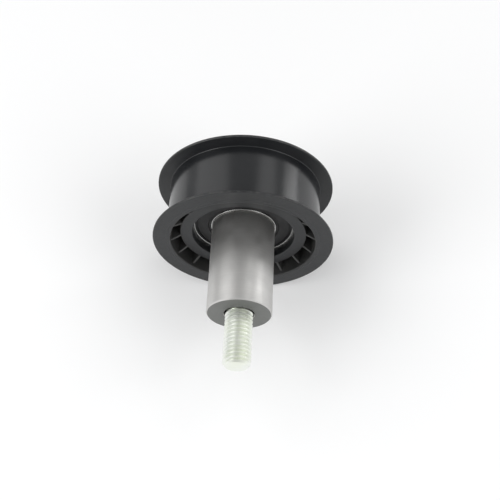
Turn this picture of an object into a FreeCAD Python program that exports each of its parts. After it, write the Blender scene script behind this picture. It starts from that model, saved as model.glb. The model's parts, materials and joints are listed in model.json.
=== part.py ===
import FreeCAD, Part
import os
import re

import Sketcher

# Belt tensioner idler: a moulded, flanged pulley wheel on a sealed deep-groove ball bearing, held off the
# engine by a spacer tube and clamped by one long bolt.
#
# Frame: +Y is the pulley's axis and points from the mounting face to the bolt's head. The origin is the
# centre of the spacer's mounting face, so the bolt's threaded end stands out towards -Y. +Z is up. Millimetres.

# Driving sizes: name, value and meaning. Each can be set by itself.
DRIVING = [
    ("thread_dia", 9.97, "major diameter of the bolt's M10 thread"),
    ("shank_dia", 10.0, "plain shank of the bolt"),
    ("stud_reach", 20.0, "how far the bolt stands out of the spacer"),
    ("tip_chamfer", 1.0, "chamfer on the bolt's threaded end"),
    ("relief_length", 4.0, "turned-down neck between thread and shank"),
    ("relief_depth", 0.5, "radial depth of that neck"),
    ("head_flats", 15.0, "hexagon head, across flats"),
    ("head_height", 7.4, "hexagon above the bolt's flange"),
    ("head_flange_dia", 21.8, "round flange under the hexagon"),
    ("head_flange_edge", 1.2, "thickness of that flange at its edge"),
    ("head_flange_rise", 1.4, "rise of its cone up to the hexagon"),
    ("head_dimple", 0.6, "depth of the forged dimple on top of the head"),
    ("spacer_dia", 23.5, "outside of the spacer tube"),
    ("spacer_length", 36.4, "mounting face to bearing"),
    ("bolt_play", 0.4, "radial room for the bolt in the spacer"),
    ("spacer_chamfer", 0.4, "outer edges of the spacer"),
    ("bore_chamfer", 0.3, "mouths of the spacer's bore"),
    ("bearing_bore", 17.0, "bearing: bore"),
    ("bearing_dia", 40.0, "bearing: outside"),
    ("bearing_width", 12.0, "bearing: width"),
    ("bearing_corner", 0.6, "bearing: corner chamfer"),
    ("ball_dia", 6.747, "bearing: ball, 17/64 inch"),
    ("ball_count", 8, "bearing: number of balls"),
    ("race_gap", 0.05, "working clearance at each side of a ball"),
    ("race_openness", 1.04, "raceway radius over ball radius"),
    ("race_depth", 1.37, "depth of each raceway below its shoulder"),
    ("outer_land", 1.8, "outer ring: radial width of its side face"),
    ("land_round", 0.2, "rounding where each ring's side face meets the seal"),
    ("seal_recess", 0.25, "seal face below the side face of the rings"),
    ("seal_lip_gap", 0.05, "radial clearance of the seal's lip"),
    ("seal_channel", 0.35, "width of the channels in the seal"),
    ("stiffener_sheet", 0.35, "steel ring behind the rubber"),
    ("stiffener_margin", 0.4, "rubber left inside that ring"),
    ("cage_sheet", 0.5, "sheet of the ball cage"),
    ("cage_ball_gap", 0.1, "play of a ball in its cage pocket"),
    ("cage_ring_gap", 0.5, "room between the cage and each shoulder"),
    ("cage_seal_gap", 0.3, "room between the cage's domes and each seal"),
    ("rivet_dia", 1.0, "rivets of the cage"),
    ("rivet_head_dia", 1.8, "heads of those rivets"),
    ("rivet_head_height", 0.3, "height of those heads"),
    ("bush_play", 0.06, "radial play of the shank in the bush"),
    ("bush_short", 0.2, "bush is this much shorter than the bearing"),
    ("shield_gap", 0.95, "dust shield: room to the wheel's rear lip"),
    ("shield_sheet", 1.6, "dust shield: sheet"),
    ("shield_land_margin", 0.9, "flat land beyond the bolt's flange"),
    ("shield_joggle", 0.6, "step that clears the seal"),
    ("shield_play", 0.25, "radial play of the shank in the shield"),
    ("hub_wall", 3.6, "wheel: wall round the bearing"),
    ("lip_reach", 1.05, "wheel: lip that holds the bearing in"),
    ("front_lip", 3.4, "wheel: front lip, axially"),
    ("rear_lip", 2.2, "wheel: rear lip, axially"),
    ("lip_chamfer", 0.5, "wheel: mouth of each lip"),
    ("pocket_width", 3.3, "wheel: pocket between hub and rim"),
    ("rim_wall", 1.7, "wheel: wall under the belt"),
    ("flange_height", 4.9, "wheel: flange above the running surface"),
    ("wheel_width", 24.8, "wheel: over both flanges"),
    ("belt_line_offset", 0.6, "wheel's middle plane ahead of the bearing's"),
    ("flange_edge", 1.0, "wheel: flange thickness at its rim"),
    ("flange_root", 1.35, "wheel: flange thickness at the running surface"),
    ("flange_round", 0.35, "wheel: rounding of the flange's rim"),
    ("root_round", 0.7, "wheel: fillet at the foot of each flange"),
    ("pocket_round", 0.8, "wheel: rounding where the face turns into the pocket"),
    ("hub_round", 0.4, "wheel: rounding of the hub's outer edge"),
    ("web_thickness", 3.0, "wheel: web in the middle of the pocket"),
    ("mould_draft", 0.2, "wheel: each pocket wall leans in by this much"),
    ("rib_count", 18, "wheel: ribs on each side"),
    ("rib_thickness", 1.0, "wheel: ribs"),
    ("rib_bite", 0.5, "wheel: how far a rib runs into its walls"),
    ("rib_drop", 0.3, "wheel: rib below the hub's edge"),
    ("rib_rim_drop", 0.5, "wheel: rib below the rounded pocket mouth"),
]

# Sizes worked out from the driving ones.
DERIVED = [
    ("thread_radius", "thread_dia / 2", "thread"),
    ("shank_radius", "shank_dia / 2", "shank"),
    ("relief_radius", "thread_radius - relief_depth", "neck between thread and shank"),
    ("spacer_radius", "spacer_dia / 2", "spacer, outside"),
    ("spacer_bore_radius", "shank_radius + bolt_play", "spacer, inside"),
    ("bore_radius", "bearing_bore / 2", "bearing bore"),
    ("seat_radius", "bearing_dia / 2", "bearing outside, which is the wheel's seat"),
    ("ball_radius", "ball_dia / 2", "ball"),
    ("pitch_radius", "(bore_radius + seat_radius) / 2", "circle of the balls' centres"),
    ("race_radius", "ball_radius * race_openness", "raceway's own radius"),
    ("inner_race_centre", "pitch_radius - ball_radius - race_gap + race_radius", "inner raceway"),
    ("outer_race_centre", "pitch_radius + ball_radius + race_gap - race_radius", "outer raceway"),
    ("inner_shoulder", "pitch_radius - ball_radius + race_depth", "inner ring, outside"),
    ("outer_shoulder", "pitch_radius + ball_radius - race_depth", "outer ring, inside"),
    ("seal_seat_radius", "seat_radius - outer_land", "seat of the seal in the outer ring"),
    ("seal_lip_radius", "inner_shoulder + seal_lip_gap", "lip of the seal"),
    ("bearing_front", "spacer_length", "bearing's front face"),
    ("bearing_middle", "bearing_front + bearing_width / 2", "plane of the balls"),
    ("bearing_rear", "bearing_front + bearing_width", "bearing's rear face"),
    ("cage_inner", "inner_shoulder + cage_ring_gap", "cage band, inside"),
    ("cage_outer", "outer_shoulder - cage_ring_gap / 2", "cage band, outside"),
    ("cage_pocket", "ball_radius + cage_ball_gap", "cage pocket, inside"),
    ("cage_dome", "cage_pocket + cage_sheet", "cage pocket, outside"),
    ("seal_seat_depth", "bearing_width / 2 - cage_dome - cage_seal_gap", "depth of the seal's seat"),
    ("seal_rubber", "seal_seat_depth - seal_recess - stiffener_sheet", "thickness of the seal's rubber"),
    ("seal_channel_depth", "seal_rubber / 3", "depth of the channels in the seal"),
    ("stiffener_radius", "(4 * seal_seat_radius + outer_shoulder) / 5", "stiffener, outside: on the shoulder"),
    ("shield_rear", "bearing_rear + shield_sheet", "land under the bolt's head"),
    ("shield_land", "head_flange_dia / 2 + shield_land_margin", "edge of that land"),
    ("hub_radius", "seat_radius + hub_wall", "wheel hub, outside"),
    ("lip_radius", "seat_radius - lip_reach", "wheel hub, mouth"),
    ("shield_radius", "lip_radius - shield_gap", "dust shield, outside"),
    ("pocket_radius", "hub_radius + pocket_width", "pocket's outer wall"),
    ("running_radius", "pocket_radius + rim_wall", "surface under the belt"),
    ("flange_radius", "running_radius + flange_height", "flange"),
    ("wheel_middle", "bearing_middle - belt_line_offset", "wheel's middle plane"),
    ("wheel_front", "wheel_middle - wheel_width / 2", "front flange's outer face"),
    ("wheel_rear", "wheel_middle + wheel_width / 2", "rear flange's outer face"),
    ("hub_front", "bearing_front - front_lip", "hub's front face"),
    ("hub_rear", "bearing_rear + rear_lip", "hub's rear face"),
    ("web_front", "wheel_middle - web_thickness / 2", "web's front face"),
    ("web_rear", "wheel_middle + web_thickness / 2", "web's rear face"),
]

doc = FreeCAD.newDocument("BeltTensionerIdler")
sheet = doc.addObject("Spreadsheet::Sheet", "Sizes")
for row, (name, value, meaning) in enumerate(DRIVING, start=1):
    sheet.set("A%d" % row, meaning)
    sheet.set("B%d" % row, str(value))
    sheet.setAlias("B%d" % row, name)
for row, (name, formula, meaning) in enumerate(DERIVED, start=len(DRIVING) + 2):
    sheet.set("A%d" % row, meaning)
    sheet.set("B%d" % row, "=" + formula)
    sheet.setAlias("B%d" % row, name)
doc.recompute()

SUB_PARTS = []


def bound(formula):
    """A formula in the sheet's words, as an expression that another object can hold."""
    return re.sub(r"\b([a-z]+(?:_[a-z]+)+)\b", r"Sizes.\1", str(formula))


def size(formula):
    """The present value of a formula in the sheet's words."""
    return float(sheet.evalExpression(str(formula)))


def bind(thing, prop, formula):
    thing.setExpression(prop, bound(formula))


def sub_part(thing, node):
    """Name a finished object as a sub-part of its own."""
    thing.Label = node
    SUB_PARTS.append(thing)
    return thing


def origin_feature(body, role):
    return next(item for item in body.Origin.OriginFeatures if item.Role == role)


def new_body(name):
    return doc.addObject("PartDesign::Body", name)


def new_sketch(body, name, plane="XY_Plane"):
    """A sketch on one of the body's own planes. On XY_Plane, X is the radius and Y the pulley's axis."""
    sketch = body.newObject("Sketcher::SketchObject", name)
    sketch.AttachmentSupport = [(origin_feature(body, plane), "")]
    sketch.MapMode = "FlatFace"
    return sketch


def pin_point(sketch, geometry, which, across, along):
    """Hold one point of the sketch at the two formulas."""
    for kind, formula, axis in (("DistanceX", across, -2), ("DistanceY", along, -1)):
        if str(formula) == "0":
            sketch.addConstraint(Sketcher.Constraint("PointOnObject", geometry, which, axis))
            continue
        rule = Sketcher.Constraint(kind, -1, 1, geometry, which, size(formula))
        index = sketch.addConstraint(rule)
        bind(sketch, "Constraints[%d]" % index, formula)


def add_outline(sketch, corners):
    """A closed outline of straight lines through corners, each a pair of formulas: radius, then axis."""
    places = [FreeCAD.Vector(size(across), size(along), 0) for across, along in corners]
    first = sketch.GeometryCount
    count = len(corners)
    for index in range(count):
        sketch.addGeometry(Part.LineSegment(places[index], places[(index + 1) % count]), False)
    for index in range(count):
        after = first + (index + 1) % count
        sketch.addConstraint(Sketcher.Constraint("Coincident", first + index, 2, after, 1))
    for index, (across, along) in enumerate(corners):
        pin_point(sketch, first + index, 1, across, along)


def add_circle(sketch, across, along, radius):
    """A full circle with its centre at two formulas and its radius from a third."""
    centre = FreeCAD.Vector(size(across), size(along), 0)
    circle = sketch.addGeometry(Part.Circle(centre, FreeCAD.Vector(0, 0, 1), size(radius)), False)
    pin_point(sketch, circle, 3, across, along)
    index = sketch.addConstraint(Sketcher.Constraint("Radius", circle, size(radius)))
    bind(sketch, "Constraints[%d]" % index, radius)


def turned(body, name, corners):
    """A solid turned about the pulley's axis from one outline."""
    sketch = new_sketch(body, name + "Outline")
    add_outline(sketch, corners)
    turning = body.newObject("PartDesign::Revolution", name + "Turning")
    turning.Profile = sketch
    turning.ReferenceAxis = (sketch, ["V_Axis"])
    turning.Angle = 360
    body.Tip = turning
    doc.recompute()
    return turning


def turned_cut(body, name, draw):
    """A groove turned about the pulley's axis. draw puts its outline in the sketch it is given."""
    before = body.Shape.Volume
    sketch = new_sketch(body, name + "Outline")
    draw(sketch)
    groove = body.newObject("PartDesign::Groove", name)
    groove.Profile = sketch
    groove.ReferenceAxis = (sketch, ["V_Axis"])
    groove.Angle = 360
    body.Tip = groove
    doc.recompute()
    if not body.Shape.Volume < before:
        raise RuntimeError(name + " cuts nothing")
    return groove


def ring_edges(shape, places):
    """The names of the full circles at each (radius, axis) pair of formulas."""
    wanted = [(size(radius), size(along)) for radius, along in places]
    names = []
    for number, edge in enumerate(shape.Edges, start=1):
        if not isinstance(edge.Curve, Part.Circle):
            continue
        here = (edge.Curve.Radius, edge.Curve.Center.y)
        if any(abs(here[0] - there[0]) + abs(here[1] - there[1]) < 1e-4 for there in wanted):
            names.append("Edge%d" % number)
    if len(names) != len(places):
        raise RuntimeError("expected %d ring edges, found %d" % (len(places), len(names)))
    return names


def dress_rings(body, name, kind, places, amount):
    """A fillet or chamfer on ring edges of the body."""
    base = body.Tip
    dressing = body.newObject("PartDesign::" + kind, name)
    dressing.Base = (base, ring_edges(base.Shape, places))
    bind(dressing, "Radius" if kind == "Fillet" else "Size", amount)
    body.Tip = dressing
    doc.recompute()
    return dressing


def pulley_wheel():
    """The moulded wheel: hub, web, rim and two flanges in one turning, then radial ribs on both sides."""
    body = new_body("PulleyWheel")
    turned(body, "Wheel", [
        ("lip_radius", "hub_front"),
        ("hub_radius", "hub_front"),
        ("hub_radius + mould_draft", "web_front"),
        ("pocket_radius - mould_draft", "web_front"),
        ("pocket_radius", "wheel_front"),
        ("flange_radius", "wheel_front"),
        ("flange_radius", "wheel_front + flange_edge"),
        ("running_radius", "wheel_front + flange_root"),
        ("running_radius", "wheel_rear - flange_root"),
        ("flange_radius", "wheel_rear - flange_edge"),
        ("flange_radius", "wheel_rear"),
        ("pocket_radius", "wheel_rear"),
        ("pocket_radius - mould_draft", "web_rear"),
        ("hub_radius + mould_draft", "web_rear"),
        ("hub_radius", "hub_rear"),
        ("lip_radius", "hub_rear"),
        ("lip_radius", "bearing_rear"),
        ("seat_radius", "bearing_rear"),
        ("seat_radius", "bearing_front"),
        ("lip_radius", "bearing_front"),
    ])
    dress_rings(body, "FlangeRims", "Fillet", [
        ("flange_radius", "wheel_front"),
        ("flange_radius", "wheel_front + flange_edge"),
        ("flange_radius", "wheel_rear - flange_edge"),
        ("flange_radius", "wheel_rear"),
    ], "flange_round")
    dress_rings(body, "FlangeFeet", "Fillet", [
        ("running_radius", "wheel_front + flange_root"),
        ("running_radius", "wheel_rear - flange_root"),
    ], "root_round")
    dress_rings(body, "PocketMouths", "Fillet", [
        ("pocket_radius", "wheel_front"),
        ("pocket_radius", "wheel_rear"),
    ], "pocket_round")
    dress_rings(body, "HubEdges", "Fillet", [
        ("hub_radius", "hub_front"),
        ("hub_radius", "hub_rear"),
    ], "hub_round")
    dress_rings(body, "HubMouths", "Chamfer", [
        ("lip_radius", "hub_front"),
        ("lip_radius", "hub_rear"),
    ], "lip_chamfer")

    # A rib fills the pocket from the web up to an edge that slopes from the hub to the flange.
    sketch = new_sketch(body, "RibOutline")
    add_outline(sketch, [
        ("hub_radius - rib_bite", "web_front + rib_bite"),
        ("hub_radius - rib_bite", "hub_front + rib_drop"),
        ("pocket_radius + rib_bite", "wheel_front + pocket_round + rib_rim_drop"),
        ("pocket_radius + rib_bite", "web_front + rib_bite"),
    ])
    add_outline(sketch, [
        ("hub_radius - rib_bite", "web_rear - rib_bite"),
        ("pocket_radius + rib_bite", "web_rear - rib_bite"),
        ("pocket_radius + rib_bite", "wheel_rear - pocket_round - rib_rim_drop"),
        ("hub_radius - rib_bite", "hub_rear - rib_drop"),
    ])
    rib = body.newObject("PartDesign::Pad", "Rib")
    rib.Profile = sketch
    rib.SideType = "Symmetric"
    bind(rib, "Length", "rib_thickness")
    body.Tip = rib
    doc.recompute()
    ribs = body.newObject("PartDesign::PolarPattern", "Ribs")
    ribs.Originals = [rib]
    ribs.Axis = (origin_feature(body, "Y_Axis"), [""])
    ribs.Angle = 360
    bind(ribs, "Occurrences", "rib_count")
    body.Tip = ribs
    doc.recompute()
    return sub_part(body, "pulley_wheel")


def bearing_outer_ring():
    """Outer ring: a side land, a stepped seat for each seal, and the outer raceway."""
    body = new_body("BearingOuterRing")
    turned(body, "OuterRing", [
        ("seat_radius", "bearing_front"),
        ("seat_radius", "bearing_rear"),
        ("seal_seat_radius", "bearing_rear"),
        ("seal_seat_radius", "bearing_rear - seal_seat_depth"),
        ("outer_shoulder", "bearing_rear - seal_seat_depth"),
        ("outer_shoulder", "bearing_front + seal_seat_depth"),
        ("seal_seat_radius", "bearing_front + seal_seat_depth"),
        ("seal_seat_radius", "bearing_front"),
    ])
    dress_rings(body, "OuterCorners", "Chamfer", [
        ("seat_radius", "bearing_front"),
        ("seat_radius", "bearing_rear"),
    ], "bearing_corner")
    dress_rings(body, "OuterLands", "Fillet", [
        ("seal_seat_radius", "bearing_front"),
        ("seal_seat_radius", "bearing_rear"),
    ], "land_round")
    turned_cut(body, "OuterRaceway", lambda sketch: add_circle(
        sketch, "outer_race_centre", "bearing_middle", "race_radius"))
    return sub_part(body, "bearing_outer_ring")


def bearing_inner_ring():
    """Inner ring: plain shoulders that the seal lips run on, and the inner raceway."""
    body = new_body("BearingInnerRing")
    turned(body, "InnerRing", [
        ("bore_radius", "bearing_front"),
        ("inner_shoulder", "bearing_front"),
        ("inner_shoulder", "bearing_rear"),
        ("bore_radius", "bearing_rear"),
    ])
    dress_rings(body, "InnerCorners", "Chamfer", [
        ("bore_radius", "bearing_front"),
        ("bore_radius", "bearing_rear"),
    ], "bearing_corner")
    dress_rings(body, "InnerLands", "Fillet", [
        ("inner_shoulder", "bearing_front"),
        ("inner_shoulder", "bearing_rear"),
    ], "land_round")
    turned_cut(body, "InnerRaceway", lambda sketch: add_circle(
        sketch, "inner_race_centre", "bearing_middle", "race_radius"))
    return sub_part(body, "bearing_inner_ring")


def on_pitch_circle(thing, turn):
    """Put a round thing in the plane of the balls, at a share of a turn round the pitch circle."""
    angle = "360deg * (%s) / ball_count" % turn
    bind(thing, "Placement.Base.x", "pitch_radius * cos(%s)" % angle)
    bind(thing, "Placement.Base.y", "bearing_middle")
    bind(thing, "Placement.Base.z", "pitch_radius * sin(%s)" % angle)
    return thing


def new_sphere(name, radius):
    sphere = doc.addObject("Part::Sphere", name)
    bind(sphere, "Radius", radius)
    return sphere


def new_rod(name, radius, start, length):
    """A cylinder along the pulley's axis, from one station for a length."""
    rod = doc.addObject("Part::Cylinder", name)
    rod.Placement = FreeCAD.Placement(
        FreeCAD.Vector(0, 0, 0), FreeCAD.Rotation(FreeCAD.Vector(1, 0, 0), -90))
    bind(rod, "Radius", radius)
    bind(rod, "Height", length)
    bind(rod, "Placement.Base.y", start)
    return rod


def combined(kind, name, shapes):
    """A fuse or a common of many shapes."""
    result = doc.addObject("Part::" + kind, name)
    result.Shapes = shapes
    return result


def cut(name, base, tool):
    result = doc.addObject("Part::Cut", name)
    result.Base = base
    result.Tool = tool
    return result


def bearing_balls():
    for number in range(int(size("ball_count"))):
        ball = new_sphere("BearingBall%d" % (number + 1), "ball_radius")
        on_pitch_circle(ball, number)
        sub_part(ball, "bearing_ball_%d" % (number + 1))


def cage_halves():
    """The pressed ribbon cage: two halves, each a flat ring with a domed pocket for each ball."""
    count = int(size("ball_count"))
    band = cut("CageBand", new_rod("CageBandOuter", "cage_outer", "bearing_middle", "cage_dome"),
               new_rod("CageBandInner", "cage_inner", "bearing_middle", "cage_dome"))
    flat = new_rod("CageFlat", "cage_outer", "bearing_middle", "cage_sheet")
    domes = [on_pitch_circle(new_sphere("CageDome%d" % number, "cage_dome"), number)
             for number in range(count)]
    hollows = [on_pitch_circle(new_sphere("CageHollow%d" % number, "cage_pocket"), number)
               for number in range(count)]
    holes = [rivet_rod("CageHole%d" % number, number, "rivet_dia / 2", "bearing_middle", "cage_sheet")
             for number in range(count)]
    pressed = combined("MultiFuse", "CagePressed", [flat] + domes)
    ribbon = combined("MultiCommon", "CageRibbon", [pressed, band])
    pockets = combined("MultiFuse", "CagePockets", hollows + holes)
    rear = sub_part(cut("CageRearHalf", ribbon, pockets), "cage_rear_half")
    front = doc.addObject("Part::Mirroring", "CageFrontHalf")
    front.Source = rear
    front.Normal = FreeCAD.Vector(0, 1, 0)
    bind(front, "Base.y", "bearing_middle")
    sub_part(front, "cage_front_half")


def rivet_rod(name, number, radius, start, length):
    """A cylinder half way between two neighbouring balls."""
    rod = on_pitch_circle(new_rod(name, radius, start, length), "%d + 0.5" % number)
    bind(rod, "Placement.Base.y", start)
    return rod


def cage_rivets():
    """Two-headed rivets between the balls, which hold the two halves of the cage together."""
    rivets = []
    for number in range(int(size("ball_count"))):
        shank = rivet_rod("RivetShank%d" % number, number, "rivet_dia / 2",
                          "bearing_middle - cage_sheet", "2 * cage_sheet")
        heads = [rivet_rod("RivetHead%d%s" % (number, word), number, "rivet_head_dia / 2",
                           start, "rivet_head_height")
                 for word, start in (("Front", "bearing_middle - cage_sheet - rivet_head_height"),
                                     ("Rear", "bearing_middle + cage_sheet"))]
        rivets.append(combined("MultiFuse", "Rivet%d" % number, [shank] + heads))
    group = doc.addObject("Part::Compound", "CageRivets")
    group.Links = rivets
    return sub_part(group, "cage_rivets")


def seal(face, inward, word):
    """One seal: rubber with a channel inside its outer bead and a stepped lip, and a steel ring behind it.

    face is the bearing's side face and inward is "+" or "-", the way into the bearing along the axis.
    """
    def depth(formula):
        return "%s %s (%s)" % (face, inward, formula)

    body = new_body("Seal%sRubber" % word.title())
    front = "seal_recess"
    floor = "seal_recess + seal_channel_depth"
    back = "seal_recess + seal_rubber"
    turned(body, "Seal%s" % word.title(), [
        ("seal_lip_radius", depth(floor)),
        ("seal_lip_radius + 2 * seal_channel", depth(floor)),
        ("seal_lip_radius + 3 * seal_channel", depth(front)),
        ("seal_seat_radius - 3 * seal_channel", depth(front)),
        ("seal_seat_radius - 3 * seal_channel", depth(floor)),
        ("seal_seat_radius - 2 * seal_channel", depth(floor)),
        ("seal_seat_radius - 2 * seal_channel", depth(front)),
        ("seal_seat_radius", depth(front)),
        ("seal_seat_radius", depth(back)),
        ("seal_lip_radius", depth(back)),
    ])
    sub_part(body, "seal_%s_rubber" % word)
    ring = new_body("Seal%sStiffener" % word.title())
    turned(ring, "Stiffener%s" % word.title(), [
        ("seal_lip_radius + stiffener_margin", depth(back)),
        ("stiffener_radius", depth(back)),
        ("stiffener_radius", depth(back + " + stiffener_sheet")),
        ("seal_lip_radius + stiffener_margin", depth(back + " + stiffener_sheet")),
    ])
    sub_part(ring, "seal_%s_stiffener" % word)


def spacer_tube():
    body = new_body("SpacerTube")
    turned(body, "Spacer", [
        ("spacer_bore_radius", "0"),
        ("spacer_radius", "0"),
        ("spacer_radius", "spacer_length"),
        ("spacer_bore_radius", "spacer_length"),
    ])
    dress_rings(body, "SpacerEdges", "Chamfer", [
        ("spacer_radius", "0"),
        ("spacer_radius", "spacer_length"),
    ], "spacer_chamfer")
    dress_rings(body, "BoreMouths", "Chamfer", [
        ("spacer_bore_radius", "0"),
        ("spacer_bore_radius", "spacer_length"),
    ], "bore_chamfer")
    return sub_part(body, "spacer_tube")


def bearing_bush():
    """Steel sleeve that centres the bearing's inner ring on the bolt."""
    body = new_body("BearingBush")
    turned(body, "Bush", [
        ("shank_radius + bush_play", "bearing_front + bush_short / 2"),
        ("bore_radius", "bearing_front + bush_short / 2"),
        ("bore_radius", "bearing_rear - bush_short / 2"),
        ("shank_radius + bush_play", "bearing_rear - bush_short / 2"),
    ])
    return sub_part(body, "bearing_bush")


def dust_shield():
    """Dished plate: a flat land clamped on the inner ring, then a step away from the seal."""
    body = new_body("DustShield")
    turned(body, "Shield", [
        ("shank_radius + shield_play", "bearing_rear"),
        ("inner_shoulder - shield_joggle", "bearing_rear"),
        ("inner_shoulder + shield_joggle / 2", "bearing_rear + shield_joggle"),
        ("shield_radius", "bearing_rear + shield_joggle"),
        ("shield_radius", "shield_rear + shield_joggle"),
        ("shield_land + shield_joggle", "shield_rear + shield_joggle"),
        ("shield_land", "shield_rear"),
        ("shank_radius + shield_play", "shield_rear"),
    ])
    return sub_part(body, "dust_shield")


def mounting_bolt():
    """Flanged hexagon bolt: thread, relief neck inside the spacer, shank, coned flange and chamfered head."""
    body = new_body("MountingBolt")
    flange_top = "shield_rear + head_flange_edge + head_flange_rise"
    turned(body, "Bolt", [
        ("0", "-stud_reach"),
        ("thread_radius - tip_chamfer", "-stud_reach"),
        ("thread_radius", "-stud_reach + tip_chamfer"),
        ("thread_radius", "0"),
        ("relief_radius", "relief_depth"),
        ("relief_radius", "relief_length - relief_depth"),
        ("shank_radius", "relief_length"),
        ("shank_radius", "shield_rear"),
        ("head_flange_dia / 2", "shield_rear"),
        ("head_flange_dia / 2", "shield_rear + head_flange_edge"),
        ("head_flats / 2", flange_top),
        ("0", flange_top),
    ])
    sketch = new_sketch(body, "HexagonOutline", "XZ_Plane")
    corner = FreeCAD.Vector(size("head_flats / sqrt(3)"), 0, 0)
    turn = FreeCAD.Rotation(FreeCAD.Vector(0, 0, 1), 60)
    for _ in range(6):
        after = turn.multVec(corner)
        sketch.addGeometry(Part.LineSegment(corner, after), False)
        corner = after
    circle = sketch.addGeometry(
        Part.Circle(FreeCAD.Vector(), FreeCAD.Vector(0, 0, 1), size("head_flats / sqrt(3)")), True)
    sketch.addConstraint(Sketcher.Constraint("Coincident", circle, 3, -1, 1))
    for side in range(6):
        sketch.addConstraint(Sketcher.Constraint("Coincident", side, 2, (side + 1) % 6, 1))
        sketch.addConstraint(Sketcher.Constraint("PointOnObject", side, 1, circle))
    for side in range(5):
        sketch.addConstraint(Sketcher.Constraint("Equal", side, side + 1))
    sketch.addConstraint(Sketcher.Constraint("PointOnObject", 0, 1, -1))
    index = sketch.addConstraint(Sketcher.Constraint("Radius", circle, size("head_flats / sqrt(3)")))
    bind(sketch, "Constraints[%d]" % index, "head_flats / sqrt(3)")
    # XZ_Plane faces -Y, so the sketch is lifted backwards along it to the flange's cone.
    bind(sketch, "AttachmentOffset.Base.z", "-(shield_rear + head_flange_edge)")
    hexagon = body.newObject("PartDesign::Pad", "Hexagon")
    hexagon.Profile = sketch
    hexagon.Reversed = True
    bind(hexagon, "Length", "head_flange_rise + head_height")
    body.Tip = hexagon
    doc.recompute()
    head_top = "shield_rear + head_flange_edge + head_flange_rise + head_height"
    turned_cut(body, "HeadChamfer", lambda sketch: add_outline(sketch, [
        ("head_flats / 2", head_top),
        ("head_flats", head_top + " - head_flats / 2 * tan(30deg)"),
        ("head_flats", head_top),
    ]))
    turned_cut(body, "HeadDimple", lambda sketch: add_outline(sketch, [
        ("0", head_top),
        ("0", head_top + " - head_dimple"),
        ("head_flats / 4", head_top + " - head_dimple"),
        ("head_flats / 4 + head_dimple", head_top),
    ]))
    return sub_part(body, "mounting_bolt")


def check_document():
    """Stop if any object failed, or if any sub-part has no valid shape."""
    doc.recompute()
    for thing in doc.Objects:
        if "Invalid" in thing.State or "Error" in thing.State:
            raise RuntimeError("%s failed: %s" % (thing.Name, thing.State))
    for thing in SUB_PARTS:
        if thing.Shape.isNull() or not thing.Shape.isValid():
            raise RuntimeError(thing.Label + " has no valid shape")


pulley_wheel()
bearing_outer_ring()
bearing_inner_ring()
bearing_balls()
cage_halves()
cage_rivets()
seal("bearing_front", "+", "front")
seal("bearing_rear", "-", "rear")
spacer_tube()
bearing_bush()
dust_shield()
mounting_bolt()
check_document()

os.makedirs("parts", exist_ok=True)
for thing in SUB_PARTS:
    thing.Shape.exportStep("parts/%s.step" % thing.Label)
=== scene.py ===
import json
import math

import bpy
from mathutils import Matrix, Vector


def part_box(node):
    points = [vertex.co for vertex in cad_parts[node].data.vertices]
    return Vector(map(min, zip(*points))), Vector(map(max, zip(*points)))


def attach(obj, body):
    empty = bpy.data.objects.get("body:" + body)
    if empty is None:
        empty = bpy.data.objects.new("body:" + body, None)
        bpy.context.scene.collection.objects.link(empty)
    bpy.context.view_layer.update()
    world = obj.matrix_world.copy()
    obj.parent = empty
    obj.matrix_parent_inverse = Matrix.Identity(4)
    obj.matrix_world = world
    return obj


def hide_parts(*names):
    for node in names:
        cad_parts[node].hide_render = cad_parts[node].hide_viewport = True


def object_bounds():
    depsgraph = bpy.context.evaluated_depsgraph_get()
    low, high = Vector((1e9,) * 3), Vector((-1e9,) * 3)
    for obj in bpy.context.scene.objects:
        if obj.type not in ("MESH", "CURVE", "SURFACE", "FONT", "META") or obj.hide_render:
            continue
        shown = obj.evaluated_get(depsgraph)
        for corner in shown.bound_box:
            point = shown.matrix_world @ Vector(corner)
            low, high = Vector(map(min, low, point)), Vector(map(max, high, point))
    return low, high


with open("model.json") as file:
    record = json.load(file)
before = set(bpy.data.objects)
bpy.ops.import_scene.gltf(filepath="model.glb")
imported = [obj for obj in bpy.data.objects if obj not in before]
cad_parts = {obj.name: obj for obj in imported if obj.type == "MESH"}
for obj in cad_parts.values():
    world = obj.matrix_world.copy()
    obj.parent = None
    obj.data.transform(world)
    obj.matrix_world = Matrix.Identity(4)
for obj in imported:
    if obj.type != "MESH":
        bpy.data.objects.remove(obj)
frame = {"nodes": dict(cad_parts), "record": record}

# A flanged belt idler: black moulded wheel on a sealed bearing, steel spacer tube and zinc-plated bolt.
# Its axis is Y, and the bolt's threaded end points to -Y. Lengths are in metres: millimetres times MM.

CAD_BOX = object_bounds()
NODES = frame["nodes"]
MM = 0.001
STEPS = 192  # corners of every full turn
TIGHT = 1e-7  # two vertices closer than this are one


# ---------------------------------------------------------------- reading the frame

def reach(node):
    """Outer radius of a turned node about the Y axis."""
    low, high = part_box(node)
    return (high.x - low.x) / 2


def span(node):
    """Where a node starts and ends along the Y axis."""
    low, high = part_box(node)
    return low.y, high.y


# ---------------------------------------------------------------- sizes that the frame doesn't give

# the moulded wheel
RUNNING_RADIUS = 28.6 * MM
HUB_WALL = 3.6 * MM
POCKET_WIDTH = 3.3 * MM
LIP_OVERHANG = 1.05 * MM  # how far the hub's lips reach in over the bearing
HUB_STEP_FRONT = 3.4 * MM  # how far the hub stands past the bearing, at the front and at the rear
HUB_STEP_REAR = 2.2 * MM
WEB_THICKNESS = 3.0 * MM
POCKET_DRAFT = 0.2 * MM  # how much a pocket wall leans in by the time it meets the web
FLANGE_EDGE = 1.0 * MM
FLANGE_FOOT = 1.35 * MM
FLANGE_ROUND = 0.35 * MM
FOOT_ROUND = 0.3 * MM
POCKET_ROUND = 0.5 * MM
HUB_ROUND = 0.35 * MM
LIP_ROUND = 0.4 * MM
WEB_ROUND = 0.4 * MM

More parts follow.
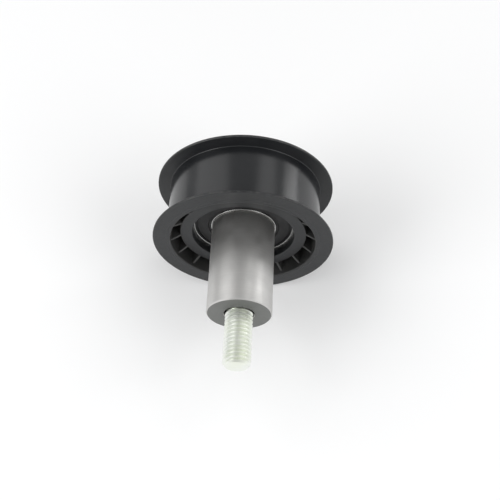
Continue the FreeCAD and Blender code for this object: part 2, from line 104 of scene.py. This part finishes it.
# its ribs
RIB_COUNT = 18
RIB_THICKNESS = 1.0 * MM
RIB_DROP = 0.3 * MM  # below the hub's face, at the hub
RIB_SINK = 1.3 * MM  # below the flange's face, at the rim
RIB_BITE = 0.5 * MM  # how far a rib runs into the hub, the rim and the web
RIB_ROUND = 0.18 * MM

# the bolt
PITCH = 1.5 * MM
THREAD_CREST = 4.985 * MM
THREAD_ROOT = 4.08 * MM
CREST_TRIM = 0.04 * MM  # the swept thread is this much proud, so that the blank trims its crests
RUN_OUT = 0.8 * MM  # the thread fades out over this length inside the spacer
RUN_OUT_STEP = 0.25 * MM  # and ends this much inside the neck
END_CHAMFER = 1.0 * MM
NECK = 4.45 * MM
NECK_END = 3.5 * MM
SHANK = 5.0 * MM
SHANK_START = 4.0 * MM
SHIELD_STEP = 0.6 * MM  # the bolt's flange lands this far in from the shield's rear end
BOLT_FLANGE_EDGE = 0.3 * MM
BOLT_FLANGE_HEIGHT = 1.2 * MM
CONE_TOP = 2.6 * MM
CONE_TOP_RADIUS = 7.6 * MM
CORE_RADIUS = 5.0 * MM  # the shaft's end, out of sight inside the hexagon
CORE_RISE = 1.0 * MM
HEX_HALF = 7.5 * MM  # half the 15 mm across the hexagon's flats
HEX_OVERRUN = 2.0 * MM  # how far the hexagon is drawn past the head, to be cut off
FORGING = 9.2 * MM
FORGING_RIM = 7.1 * MM
HEX_FOOT = 0.3 * MM  # the hexagon starts this far above the bolt's flange, inside the cone
# radius and depth of the head's forged dimple
DIMPLE = [(4.5 * MM, 0), (4.2 * MM, 0.1 * MM), (3.8 * MM, 0.5 * MM), (3.5 * MM, 0.6 * MM)]


# ---------------------------------------------------------------- modelling by hand

def deselect_all():
    bpy.ops.object.select_all(action="DESELECT")


def take(piece):
    """Make a piece the one that is selected and active."""
    deselect_all()
    piece.select_set(True)
    bpy.context.view_layer.objects.active = piece


def settle(piece):
    """Bring a piece to the origin, unturned and unscaled, with its place in its mesh."""
    take(piece)
    bpy.ops.object.transform_apply(location=True, rotation=True, scale=True)


def apply_modifiers(piece):
    take(piece)
    for modifier in list(piece.modifiers):
        bpy.ops.object.modifier_apply(modifier=modifier.name)


def edit(piece):
    take(piece)
    bpy.ops.object.mode_set(mode="EDIT")


def leave_edit():
    bpy.ops.object.mode_set(mode="OBJECT")


def smooth(piece, degrees=32):
    take(piece)
    bpy.ops.object.shade_smooth_by_angle(angle=math.radians(degrees))


def turn(name, stations, closed=True):
    """A piece turned about the Y axis: a ring drawn on and resized from station to station.

    Each station is a radius and a place along the axis. A closed outline returns to its first station;
    an open one starts and ends in a flat disc.
    """
    radius, along = stations[0]
    deselect_all()
    bpy.ops.mesh.primitive_circle_add(
        vertices=STEPS, radius=radius, location=(0, along, 0), rotation=(math.pi / 2, 0, 0))
    piece = bpy.context.object
    piece.name = name
    settle(piece)
    edit(piece)
    bpy.ops.mesh.select_all(action="SELECT")
    if not closed:
        bpy.ops.mesh.edge_face_add()
    route = stations[1:] + ([stations[0]] if closed else [])
    for new_radius, new_along in route:
        bpy.ops.mesh.extrude_region_move(
            TRANSFORM_OT_translate={"value": (0, new_along - along, 0)})
        scale = new_radius / radius
        if scale != 1:
            bpy.ops.transform.resize(value=(scale, 1, scale), center_override=(0, new_along, 0))
        radius, along = new_radius, new_along
    bpy.ops.mesh.select_all(action="SELECT")
    bpy.ops.mesh.remove_doubles(threshold=TIGHT)
    bpy.ops.mesh.normals_make_consistent(inside=False)
    leave_edit()
    return piece


def cap_end(piece):
    """Close the far end of an open turned piece."""
    edit(piece)
    bpy.ops.mesh.select_all(action="SELECT")
    bpy.ops.mesh.fill_holes(sides=0)
    bpy.ops.mesh.select_all(action="SELECT")
    bpy.ops.mesh.normals_make_consistent(inside=False)
    leave_edit()


def select_none(piece):
    """Clear every select mark of a mesh, which edit mode would otherwise spread from edges and faces."""
    mesh = piece.data
    for group in (mesh.vertices, mesh.edges, mesh.polygons):
        group.foreach_set("select", [False] * len(group))


def select_rings(piece, rings, near=2e-6):
    """Select the full circles at these radius and axis places, and nothing else."""
    mesh = piece.data
    select_none(piece)

    def on(vertex, ring):
        return (abs(math.hypot(vertex.co.x, vertex.co.z) - ring[0]) < near
                and abs(vertex.co.y - ring[1]) < near)

    for ring in rings:
        chosen = {vertex.index for vertex in mesh.vertices if on(vertex, ring)}
        for edge in mesh.edges:
            if edge.vertices[0] in chosen and edge.vertices[1] in chosen:
                edge.select = True
                mesh.vertices[edge.vertices[0]].select = True
                mesh.vertices[edge.vertices[1]].select = True


def round_rings(piece, rings, amount, segments=3):
    """Round full circles of a turned piece by an amount."""
    select_rings(piece, rings)
    take(piece)
    bpy.context.tool_settings.mesh_select_mode = (False, True, False)
    bpy.ops.object.mode_set(mode="EDIT")
    bpy.ops.mesh.bevel(offset=amount, segments=segments, profile=0.5, affect="EDGES")
    leave_edit()


def merge_shapes(piece, other, operation="UNION"):
    """Join, cut or intersect a piece with another one, which is used up."""
    boolean = piece.modifiers.new("shape", "BOOLEAN")
    boolean.operation = operation
    boolean.solver = "MANIFOLD"
    boolean.object = other
    apply_modifiers(piece)
    bpy.data.objects.remove(other, do_unlink=True)


def join(pieces):
    """Several separate shells as one object."""
    deselect_all()
    for piece in pieces:
        piece.select_set(True)
    bpy.context.view_layer.objects.active = pieces[0]
    bpy.ops.object.join()
    return pieces[0]


def finish_piece(piece, body, node, material, degrees=32):
    """Give a finished piece its shading, material, body and slot, and let it stand for its node."""
    settle(piece)
    piece.data.materials.clear()
    piece.data.materials.append(material)
    smooth(piece, degrees)
    flats = piece.modifiers.new("flat_faces", "WEIGHTED_NORMAL")
    flats.keep_sharp = True
    apply_modifiers(piece)
    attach(piece, body)
    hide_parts(node)


# ---------------------------------------------------------------- materials

class Finish:
    """A node material on Object coordinates, with one Principled shader."""

    def __init__(self, name, colour, metallic, roughness, **sockets):
        self.material = bpy.data.materials.new(name)
        self.material.use_nodes = True
        self.tree = self.material.node_tree
        self.shader = self.tree.nodes["Principled BSDF"]
        self.shader.inputs["Base Color"].default_value = (*colour, 1)
        self.shader.inputs["Metallic"].default_value = metallic
        self.shader.inputs["Roughness"].default_value = roughness
        for socket, value in sockets.items():
            self.shader.inputs[socket.replace("_", " ")].default_value = value
        self.place = self.tree.nodes.new("ShaderNodeTexCoord").outputs["Object"]

    def link(self, output, target):
        self.tree.links.new(output, target)

    def math(self, operation, first, second=0.0):
        node = self.tree.nodes.new("ShaderNodeMath")
        node.operation = operation
        for socket, value in zip(node.inputs, (first, second)):
            if isinstance(value, (int, float)):
                socket.default_value = value
            else:
                self.link(value, socket)
        return node.outputs[0]

    def axis_place(self):
        """Distance from the Y axis, and place along it."""
        parts = self.tree.nodes.new("ShaderNodeSeparateXYZ")
        self.link(self.place, parts.inputs[0])
        across = self.math("POWER", parts.outputs["X"], 2)
        upward = self.math("POWER", parts.outputs["Z"], 2)
        return self.math("SQRT", self.math("ADD", across, upward)), parts.outputs["Y"]

    def turned_place(self):
        """A coordinate that changes along and away from the axis, but hardly round it."""
        radius, along = self.axis_place()
        where = self.tree.nodes.new("ShaderNodeCombineXYZ")
        self.link(radius, where.inputs["X"])
        self.link(along, where.inputs["Y"])
        stretch = self.tree.nodes.new("ShaderNodeVectorMath")
        stretch.operation = "MULTIPLY"
        self.link(self.place, stretch.inputs[0])
        stretch.inputs[1].default_value = (0.004, 0, 0.004)
        total = self.tree.nodes.new("ShaderNodeVectorMath")
        total.operation = "ADD"
        self.link(where.outputs[0], total.inputs[0])
        self.link(stretch.outputs[0], total.inputs[1])
        return total.outputs[0]

    def noise(self, scale, detail=4.0, rough=0.55, place=None, distortion=0.0):
        node = self.tree.nodes.new("ShaderNodeTexNoise")
        node.inputs["Scale"].default_value = scale
        node.inputs["Detail"].default_value = detail
        node.inputs["Roughness"].default_value = rough
        node.inputs["Distortion"].default_value = distortion
        self.link(place or self.place, node.inputs["Vector"])
        return node.outputs["Fac"]

    def ramp(self, source, low, high, start=0.0, stop=1.0):
        """Map a factor between start and stop onto the values from low to high."""
        node = self.tree.nodes.new("ShaderNodeMapRange")
        node.clamp = True
        self.link(source, node.inputs["Value"])
        for socket, value in (("From Min", start), ("From Max", stop), ("To Min", low), ("To Max", high)):
            node.inputs[socket].default_value = value
        return node.outputs["Result"]

    def tint(self, factor, first, second):
        """A colour between two colours."""
        node = self.tree.nodes.new("ShaderNodeMix")
        node.data_type = "RGBA"
        node.inputs[6].default_value = (*first, 1)
        node.inputs[7].default_value = (*second, 1)
        self.link(factor, node.inputs[0])
        return node.outputs[2]

    def mix_colour(self, factor, first, second):
        """A colour between an output and a plain colour."""
        node = self.tree.nodes.new("ShaderNodeMix")
        node.data_type = "RGBA"
        self.link(first, node.inputs[6])
        node.inputs[7].default_value = (*second, 1)
        self.link(factor, node.inputs[0])
        return node.outputs[2]

    def colour(self, output):
        self.link(output, self.shader.inputs["Base Color"])

    def rough(self, output):
        self.link(output, self.shader.inputs["Roughness"])

    def bump(self, height, distance, strength=1.0, below=None):
        node = self.tree.nodes.new("ShaderNodeBump")
        node.inputs["Strength"].default_value = strength
        node.inputs["Distance"].default_value = distance
        self.link(height, node.inputs["Height"])
        if below is not None:
            self.link(below, node.inputs["Normal"])
        self.link(node.outputs["Normal"], self.shader.inputs["Normal"])
        return node.outputs["Normal"]


def moulded_nylon():
    """Black glass-filled nylon: dull grained faces, and a smoother running surface polished by the tool."""
    finish = Finish("moulded_nylon", (0.02, 0.021, 0.022), 0.0, 0.42, Specular_IOR_Level=0.5)
    radius = finish.axis_place()[0]
    off_track = finish.math("ABSOLUTE", finish.math("SUBTRACT", radius, RUNNING_RADIUS))
    worn = finish.math("LESS_THAN", off_track, 0.06 * MM)
    cloud = finish.noise(90, 3)
    grain = finish.noise(2600, 3, 0.65)
    fibres = finish.ramp(finish.noise(1300, 5, 0.7), -0.05, 0.05, 0.35, 0.65)
    lines = finish.noise(3400, 4, 0.6, finish.turned_place())
    belt_lines = finish.ramp(lines, -0.015, 0.015, 0.35, 0.65)
    matt = finish.math("ADD", finish.ramp(cloud, 0.40, 0.52, 0.3, 0.7), fibres)
    polished = finish.math("ADD", finish.ramp(cloud, 0.19, 0.235, 0.3, 0.7), belt_lines)
    mix = finish.tree.nodes.new("ShaderNodeMix")
    finish.link(worn, mix.inputs[0])
    finish.link(matt, mix.inputs[2])
    finish.link(polished, mix.inputs[3])
    finish.rough(mix.outputs[0])
    plain = finish.tint(finish.ramp(cloud, 0, 1, 0.3, 0.7),
                        (0.008, 0.009, 0.0105), (0.013, 0.014, 0.0155))
    pocket_middle = reach("bearing_outer_ring") + HUB_WALL + POCKET_WIDTH / 2
    into_pocket = finish.math("ABSOLUTE", finish.math("SUBTRACT", radius, pocket_middle))
    # the colour is paler in the pockets than on the rest of the wheel
    pocket_pale = finish.ramp(into_pocket, 1, 0, 1.7 * MM, 2.1 * MM)
    with_pale_pockets = finish.mix_colour(pocket_pale, plain, (0.034, 0.034, 0.033))
    flange = reach("pulley_wheel")
    rim = finish.ramp(radius, 0, 1, flange - 0.3 * MM, flange)
    scuffs = finish.math("MULTIPLY", rim, finish.ramp(finish.noise(480, 5, 0.7), 0, 1, 0.42, 0.62))
    finish.colour(finish.mix_colour(scuffs, with_pale_pockets, (0.038, 0.038, 0.038)))
    finish.bump(grain, 0.014 * MM, 0.5)
    return finish.material


def seal_rubber():
    """Dull moulded rubber, a little cloudy."""
    finish = Finish("seal_rubber", (0.01, 0.01, 0.01), 0.0, 0.5, Specular_IOR_Level=0.36)
    cloud = finish.noise(150, 3)
    finish.rough(finish.ramp(cloud, 0.46, 0.62, 0.3, 0.7))
    finish.colour(finish.tint(cloud, (0.009, 0.009, 0.0095), (0.018, 0.018, 0.019)))
    finish.bump(finish.noise(3200, 2), 0.01 * MM, 0.6)
    return finish.material


def turned_steel(name, colour, deep, roughness, marks=0.006, ends=None):
    """Steel with the fine rings that a lathe leaves round the axis.

    ends gives the piece's two end faces along the axis, which are made rougher and carry a painted shade: a
    darker colour that stands in for the shadowed floor they reflect.
    """
    finish = Finish(name, colour, 1.0, roughness)
    rings = finish.noise(5200, 3, 0.6, finish.turned_place())
    cloud = finish.noise(120, 4)
    blend = finish.math("ADD", finish.math("MULTIPLY", cloud, 0.5), finish.math("MULTIPLY", rings, 0.5))
    shade = finish.tint(finish.ramp(blend, 0, 1, 0.38, 0.62), colour, deep)
    gloss = finish.ramp(cloud, roughness - 0.05, roughness + 0.07, 0.3, 0.7)
    if ends:
        along = finish.axis_place()[1]
        middle, half = (ends[0] + ends[1]) / 2, (ends[1] - ends[0]) / 2 - 0.02 * MM
        from_middle = finish.math("ABSOLUTE", finish.math("SUBTRACT", along, middle))
        end_faces = finish.math("GREATER_THAN", from_middle, half)
        # painted shade: the end faces get a darker colour for the shadowed floor they reflect, and a higher
        # roughness
        shade = finish.mix_colour(end_faces, shade, (0.245, 0.25, 0.242))
        gloss = finish.math("ADD", gloss, finish.math("MULTIPLY", end_faces, 0.25))
    finish.rough(gloss)
    finish.colour(shade)
    below = finish.bump(finish.noise(1800, 3), 0.003 * MM, 0.5)
    finish.bump(rings, marks * MM, 0.6, below)
    return finish.material


def bearing_steel(name, colour, roughness):
    """Ground steel with a faint bloom and very fine rings."""
    finish = Finish(name, colour, 1.0, roughness)
    cloud = finish.noise(200, 3)
    finish.rough(finish.ramp(cloud, roughness - 0.03, roughness + 0.06, 0.3, 0.7))
    finish.colour(finish.tint(cloud, colour, tuple(0.82 * part for part in colour)))
    finish.bump(finish.noise(7000, 2, 0.5, finish.turned_place()), 0.001 * MM, 0.5)
    return finish.material


def zinc_plate():
    """Bright zinc with the faint green and yellow drift of its passivation."""
    finish = Finish("zinc_plate", (0.84, 0.86, 0.81), 1.0, 0.3)
    drift = finish.noise(160, 3, 0.5)
    spots = finish.noise(1500, 3, 0.5)
    finish.rough(finish.ramp(spots, 0.33, 0.42, 0.3, 0.7))
    finish.colour(finish.tint(finish.ramp(drift, 0, 1, 0.35, 0.65),
                              (0.85, 0.87, 0.83), (0.83, 0.86, 0.77)))
    finish.bump(spots, 0.001 * MM, 0.5)
    return finish.material


def pressed_zinc():
    """Thin sheet with a duller zinc coat, which keeps the faint rings of its forming."""
    finish = Finish("pressed_zinc", (0.6, 0.615, 0.58), 1.0, 0.36)
    rings = finish.noise(2400, 4, 0.6, finish.turned_place())
    drift = finish.noise(140, 4)
    finish.rough(finish.ramp(drift, 0.3, 0.43, 0.3, 0.7))
    blend = finish.math("ADD", finish.math("MULTIPLY", drift, 0.5), finish.math("MULTIPLY", rings, 0.5))
    finish.colour(finish.tint(finish.ramp(blend, 0, 1, 0.38, 0.62),
                              (0.62, 0.635, 0.6), (0.5, 0.515, 0.475)))
    finish.bump(rings, 0.002 * MM, 0.5)
    return finish.material


# ---------------------------------------------------------------- the camera, floor and lights

def camera():
    """Looks down on the threaded end, a little from the right, with the picture slightly turned."""
    azimuth = math.radians(8.61)
    elevation = math.radians(58.78)
    roll = math.radians(-7.38)
    distance = 0.29
    target = Vector((5.26, 10.55, 26.81)) * MM
    back = Vector((math.sin(azimuth) * math.cos(elevation),
                   -math.cos(azimuth) * math.cos(elevation),
                   math.sin(elevation)))
    data = bpy.data.cameras.new("camera")
    data.lens = 62.57
    data.sensor_width = 36
    data.clip_start = 0.01
    eye = bpy.data.objects.new("camera", data)
    bpy.context.scene.collection.objects.link(eye)
    eye.location = target + back * distance
    eye.rotation_mode = "QUATERNION"
    eye.rotation_quaternion = back.to_track_quat("Z", "Y")
    eye.rotation_mode = "XYZ"
    eye.rotation_euler.rotate_axis("Z", roll)
    bpy.context.scene.camera = eye


def floor():
    """A wide pale sheet just under the flanges."""
    deselect_all()
    ground = CAD_BOX[0].z
    bpy.ops.mesh.primitive_plane_add(size=6, location=(0, 0, ground))
    sheet = bpy.context.object
    sheet.name = "floor"
    paper = Finish("floor_paper", (0.92, 0.92, 0.92), 0.0, 0.7, Specular_IOR_Level=0.15)
    paper.colour(paper.tint(paper.noise(3, 2), (0.91, 0.915, 0.92), (0.94, 0.94, 0.94)))
    sheet.data.materials.append(paper.material)


LIT_POINT = Vector((0, 30, 0)) * MM  # where the lights face, just inside the wheel


def soft_box(name, towards, size, glow, distance=0.8):
    """A rectangular area light in a direction from the lit point, facing it. glow is its radiance."""
    data = bpy.data.lights.new(name, "AREA")
    data.shape = "RECTANGLE"
    data.size, data.size_y = size
    data.energy = glow * math.pi * size[0] * size[1]
    lamp = bpy.data.objects.new(name, data)
    bpy.context.scene.collection.objects.link(lamp)
    direction = Vector(towards).normalized()
    lamp.location = LIT_POINT + direction * distance
    lamp.rotation_mode = "QUATERNION"
    lamp.rotation_quaternion = direction.to_track_quat("Z", "Y")


def studio():
    """A pale room: two soft panels and a strip behind the wheel, and a broad soft box at each side."""
    world = bpy.data.worlds.new("studio")
    bpy.context.scene.world = world
    world.use_nodes = True
    sky = world.node_tree.nodes["Background"]
    sky.inputs["Color"].default_value = (1, 1, 1, 1)
    sky.inputs["Strength"].default_value = 0.57
    soft_box("panel_left", (-0.58, 0.51, 0.58), (0.42, 0.66), 0.8)
    soft_box("panel_right", (0.50, 0.51, 0.68), (0.28, 0.32), 0.95)
    soft_box("strip_right", (0.83, 0.51, 0.22), (0.14, 0.3), 3.6)
    soft_box("side_left", (-0.8, -0.45, 0.62), (0.7, 0.7), 3.8, 1.1)
    soft_box("side_right", (0.8, -0.45, 0.62), (0.7, 0.7), 3.0, 1.1)
    bpy.context.scene.view_settings.view_transform = "Standard"


# ---------------------------------------------------------------- the pieces

FINISHES = {
    "moulded_nylon": moulded_nylon(),
    "seal_rubber": seal_rubber(),
    "turned_steel": turned_steel("turned_steel", (0.6, 0.595, 0.58), (0.535, 0.53, 0.52), 0.42, 0.003,
                                 ends=span("spacer_tube")),
    "bearing_steel": bearing_steel("bearing_steel", (0.56, 0.56, 0.55), 0.24),
    "ball_steel": bearing_steel("ball_steel", (0.75, 0.75, 0.75), 0.1),
    "cage_steel": turned_steel("cage_steel", (0.5, 0.5, 0.49), (0.42, 0.42, 0.41), 0.3),
    "zinc_plate": zinc_plate(),
    "pressed_zinc": pressed_zinc(),
}


def threaded_rod(name, crest, root, pitch, start, stop):
    """A rod with a right-hand thread, longer than asked by two turns at each end.

    Its profile is swept through one full turn while it moves on by one pitch, so that it meets itself.
    """
    crest_flat, root_flat = pitch / 8, pitch / 6
    flank = (pitch - crest_flat - root_flat) / 2
    deselect_all()
    bpy.ops.mesh.primitive_plane_add(size=pitch, location=(0, start - 2 * pitch, 0))
    rod = bpy.context.object
    rod.name = name
    settle(rod)
    edit(rod)
    bpy.ops.mesh.select_all(action="SELECT")
    bpy.ops.mesh.merge(type="CENTER")
    moves = [(root, 0)]
    for _ in range(math.ceil((stop - start) / pitch) + 4):
        moves += [(crest - root, flank), (0, crest_flat), (root - crest, flank), (0, root_flat)]
    for outward, onward in moves + [(-root, 0)]:
        bpy.ops.mesh.extrude_vertices_move(TRANSFORM_OT_translate={"value": (outward, onward, 0)})
    leave_edit()
    sweep = rod.modifiers.new("thread", "SCREW")
    sweep.axis = "Y"
    sweep.screw_offset = pitch
    sweep.steps = sweep.render_steps = STEPS // 2
    sweep.use_merge_vertices = True
    sweep.merge_threshold = TIGHT
    apply_modifiers(rod)
    edit(rod)
    bpy.ops.mesh.select_all(action="SELECT")
    bpy.ops.mesh.remove_doubles(threshold=TIGHT)
    bpy.ops.mesh.fill_holes(sides=0)
    bpy.ops.mesh.select_all(action="SELECT")
    bpy.ops.mesh.normals_make_consistent(inside=False)
    leave_edit()
    return rod


def moulded_rib(hub, pocket, foot, hub_edge, rim_edge):
    """One rib of the wheel, at the top of its pocket.

    foot is its place in the web. Its open edge slopes from hub_edge to rim_edge along the axis.
    """
    inner, outer = hub - RIB_BITE, pocket + RIB_BITE
    middle = (inner + outer) / 2
    deselect_all()
    bpy.ops.mesh.primitive_cube_add(
        size=1, location=(0, (foot + hub_edge) / 2, middle),
        scale=(RIB_THICKNESS, abs(foot - hub_edge), outer - inner))
    rib = bpy.context.object
    rib.name = "rib"
    settle(rib)
    select_none(rib)
    for vertex in rib.data.vertices:
        vertex.select = abs(vertex.co.y - hub_edge) < TIGHT and vertex.co.z > middle
    bpy.context.tool_settings.mesh_select_mode = (True, False, False)
    edit(rib)
    bpy.ops.transform.translate(value=(0, rim_edge - hub_edge, 0))
    leave_edit()
    edges = rib.modifiers.new("edges", "BEVEL")
    edges.width = RIB_ROUND
    edges.segments = 2
    edges.limit_method = "ANGLE"
    apply_modifiers(rib)
    return rib


def pulley_wheel():
    """The moulded wheel: hub, web, rim and flanges turned in one outline, then ribs on both sides."""
    front, rear = span("pulley_wheel")
    flange = reach("pulley_wheel")
    seat = reach("bearing_outer_ring")
    bearing_front, bearing_rear = span("bearing_outer_ring")
    lip, hub = seat - LIP_OVERHANG, seat + HUB_WALL
    pocket = hub + POCKET_WIDTH
    hub_front, hub_rear = bearing_front - HUB_STEP_FRONT, bearing_rear + HUB_STEP_REAR
    middle = (front + rear) / 2
    web_front, web_rear = middle - WEB_THICKNESS / 2, middle + WEB_THICKNESS / 2
    web_inner, web_outer = hub + POCKET_DRAFT, pocket - POCKET_DRAFT
    edge_front, edge_rear = front + FLANGE_EDGE, rear - FLANGE_EDGE
    foot_front, foot_rear = front + FLANGE_FOOT, rear - FLANGE_FOOT
    wheel = turn("wheel_moulding", [
        (lip, hub_front), (hub, hub_front), (web_inner, web_front), (web_outer, web_front),
        (pocket, front), (flange, front), (flange, edge_front), (RUNNING_RADIUS, foot_front),
        (RUNNING_RADIUS, foot_rear), (flange, edge_rear), (flange, rear), (pocket, rear),
        (web_outer, web_rear), (web_inner, web_rear), (hub, hub_rear), (lip, hub_rear),
        (lip, bearing_rear), (seat, bearing_rear), (seat, bearing_front), (lip, bearing_front)])
    for rings, amount, segments in (
            ([(flange, place) for place in (front, edge_front, edge_rear, rear)], FLANGE_ROUND, 4),
            ([(RUNNING_RADIUS, foot_front), (RUNNING_RADIUS, foot_rear)], FOOT_ROUND, 4),
            ([(pocket, front), (pocket, rear)], POCKET_ROUND, 4),
            ([(hub, hub_front), (hub, hub_rear)], HUB_ROUND, 4),
            ([(lip, hub_front), (lip, hub_rear)], LIP_ROUND, 3),
            ([(radius, side) for side in (web_front, web_rear) for radius in (web_inner, web_outer)],
             WEB_ROUND, 3)):
        round_rings(wheel, rings, amount, segments)

    patterns = [
        moulded_rib(hub, pocket, web_front + RIB_BITE, hub_front + RIB_DROP, front + RIB_SINK),
        moulded_rib(hub, pocket, web_rear - RIB_BITE, hub_rear - RIB_DROP, rear - RIB_SINK)]
    ribs = []
    for pattern in patterns:
        for number in range(RIB_COUNT):
            rib = pattern.copy()
            rib.data = pattern.data.copy()
            bpy.context.scene.collection.objects.link(rib)
            rib.rotation_euler = (0, math.tau * number / RIB_COUNT + math.pi / 2, 0)
            settle(rib)
            ribs.append(rib)
        bpy.data.objects.remove(pattern, do_unlink=True)
    merge_shapes(wheel, join(ribs))
    finish_piece(wheel, "wheel", "pulley_wheel", FINISHES["moulded_nylon"], 28)


def mounting_bolt():
    """Flanged hexagon bolt with its thread cut in full, up to the relief neck inside the spacer."""
    start, head_top = span("mounting_bolt")
    land = span("dust_shield")[1] - SHIELD_STEP
    blank = turn("bolt_blank", [
        (THREAD_CREST - END_CHAMFER, start), (THREAD_CREST, start + END_CHAMFER), (THREAD_CREST, 0),
        (NECK - RUN_OUT_STEP, RUN_OUT)], closed=False)
    cap_end(blank)
    rod = threaded_rod("bolt_thread", THREAD_CREST + CREST_TRIM, THREAD_ROOT, PITCH, start, RUN_OUT)
    merge_shapes(rod, blank, "INTERSECT")

    flange = reach("mounting_bolt")
    flange_top = land + BOLT_FLANGE_HEIGHT
    shaft = turn("bolt_shaft", [
        (NECK, RUN_OUT / 2), (NECK, NECK_END), (SHANK, SHANK_START), (SHANK, land),
        (flange - BOLT_FLANGE_EDGE, land), (flange, land + BOLT_FLANGE_EDGE),
        (flange, flange_top - BOLT_FLANGE_EDGE), (flange - BOLT_FLANGE_EDGE, flange_top),
        (CONE_TOP_RADIUS, land + CONE_TOP), (CORE_RADIUS, land + CONE_TOP + CORE_RISE)], closed=False)
    cap_end(shaft)

    low = flange_top + HEX_FOOT
    high = head_top + HEX_OVERRUN
    deselect_all()
    bpy.ops.mesh.primitive_cylinder_add(
        vertices=6, radius=HEX_HALF / math.cos(math.pi / 6), depth=high - low,
        location=(0, (high + low) / 2, 0), rotation=(math.pi / 2, 0, 0))
    hexagon = bpy.context.object
    settle(hexagon)
    drop = (FORGING - FORGING_RIM) * math.tan(math.pi / 6)
    forging = turn("bolt_forging", [
        (FORGING, low), (FORGING, head_top - drop), (FORGING_RIM, head_top),
        *[(radius, head_top - depth) for radius, depth in DIMPLE]], closed=False)
    cap_end(forging)
    merge_shapes(hexagon, forging, "INTERSECT")
    merge_shapes(shaft, hexagon)
    merge_shapes(shaft, rod)
    shaft.name = "bolt_with_thread"
    finish_piece(shaft, "carrier", "mounting_bolt", FINISHES["zinc_plate"], 28)


OWN_FINISH = {"dust_shield": "pressed_zinc"}  # the others take the finish of their slot

for part in frame["record"]["subparts"]:
    finish_name = OWN_FINISH.get(part["node"], part["material_slot"])
    for slot in NODES[part["node"]].material_slots:
        slot.material = FINISHES[finish_name]

pulley_wheel()
mounting_bolt()
camera()
floor()
studio()
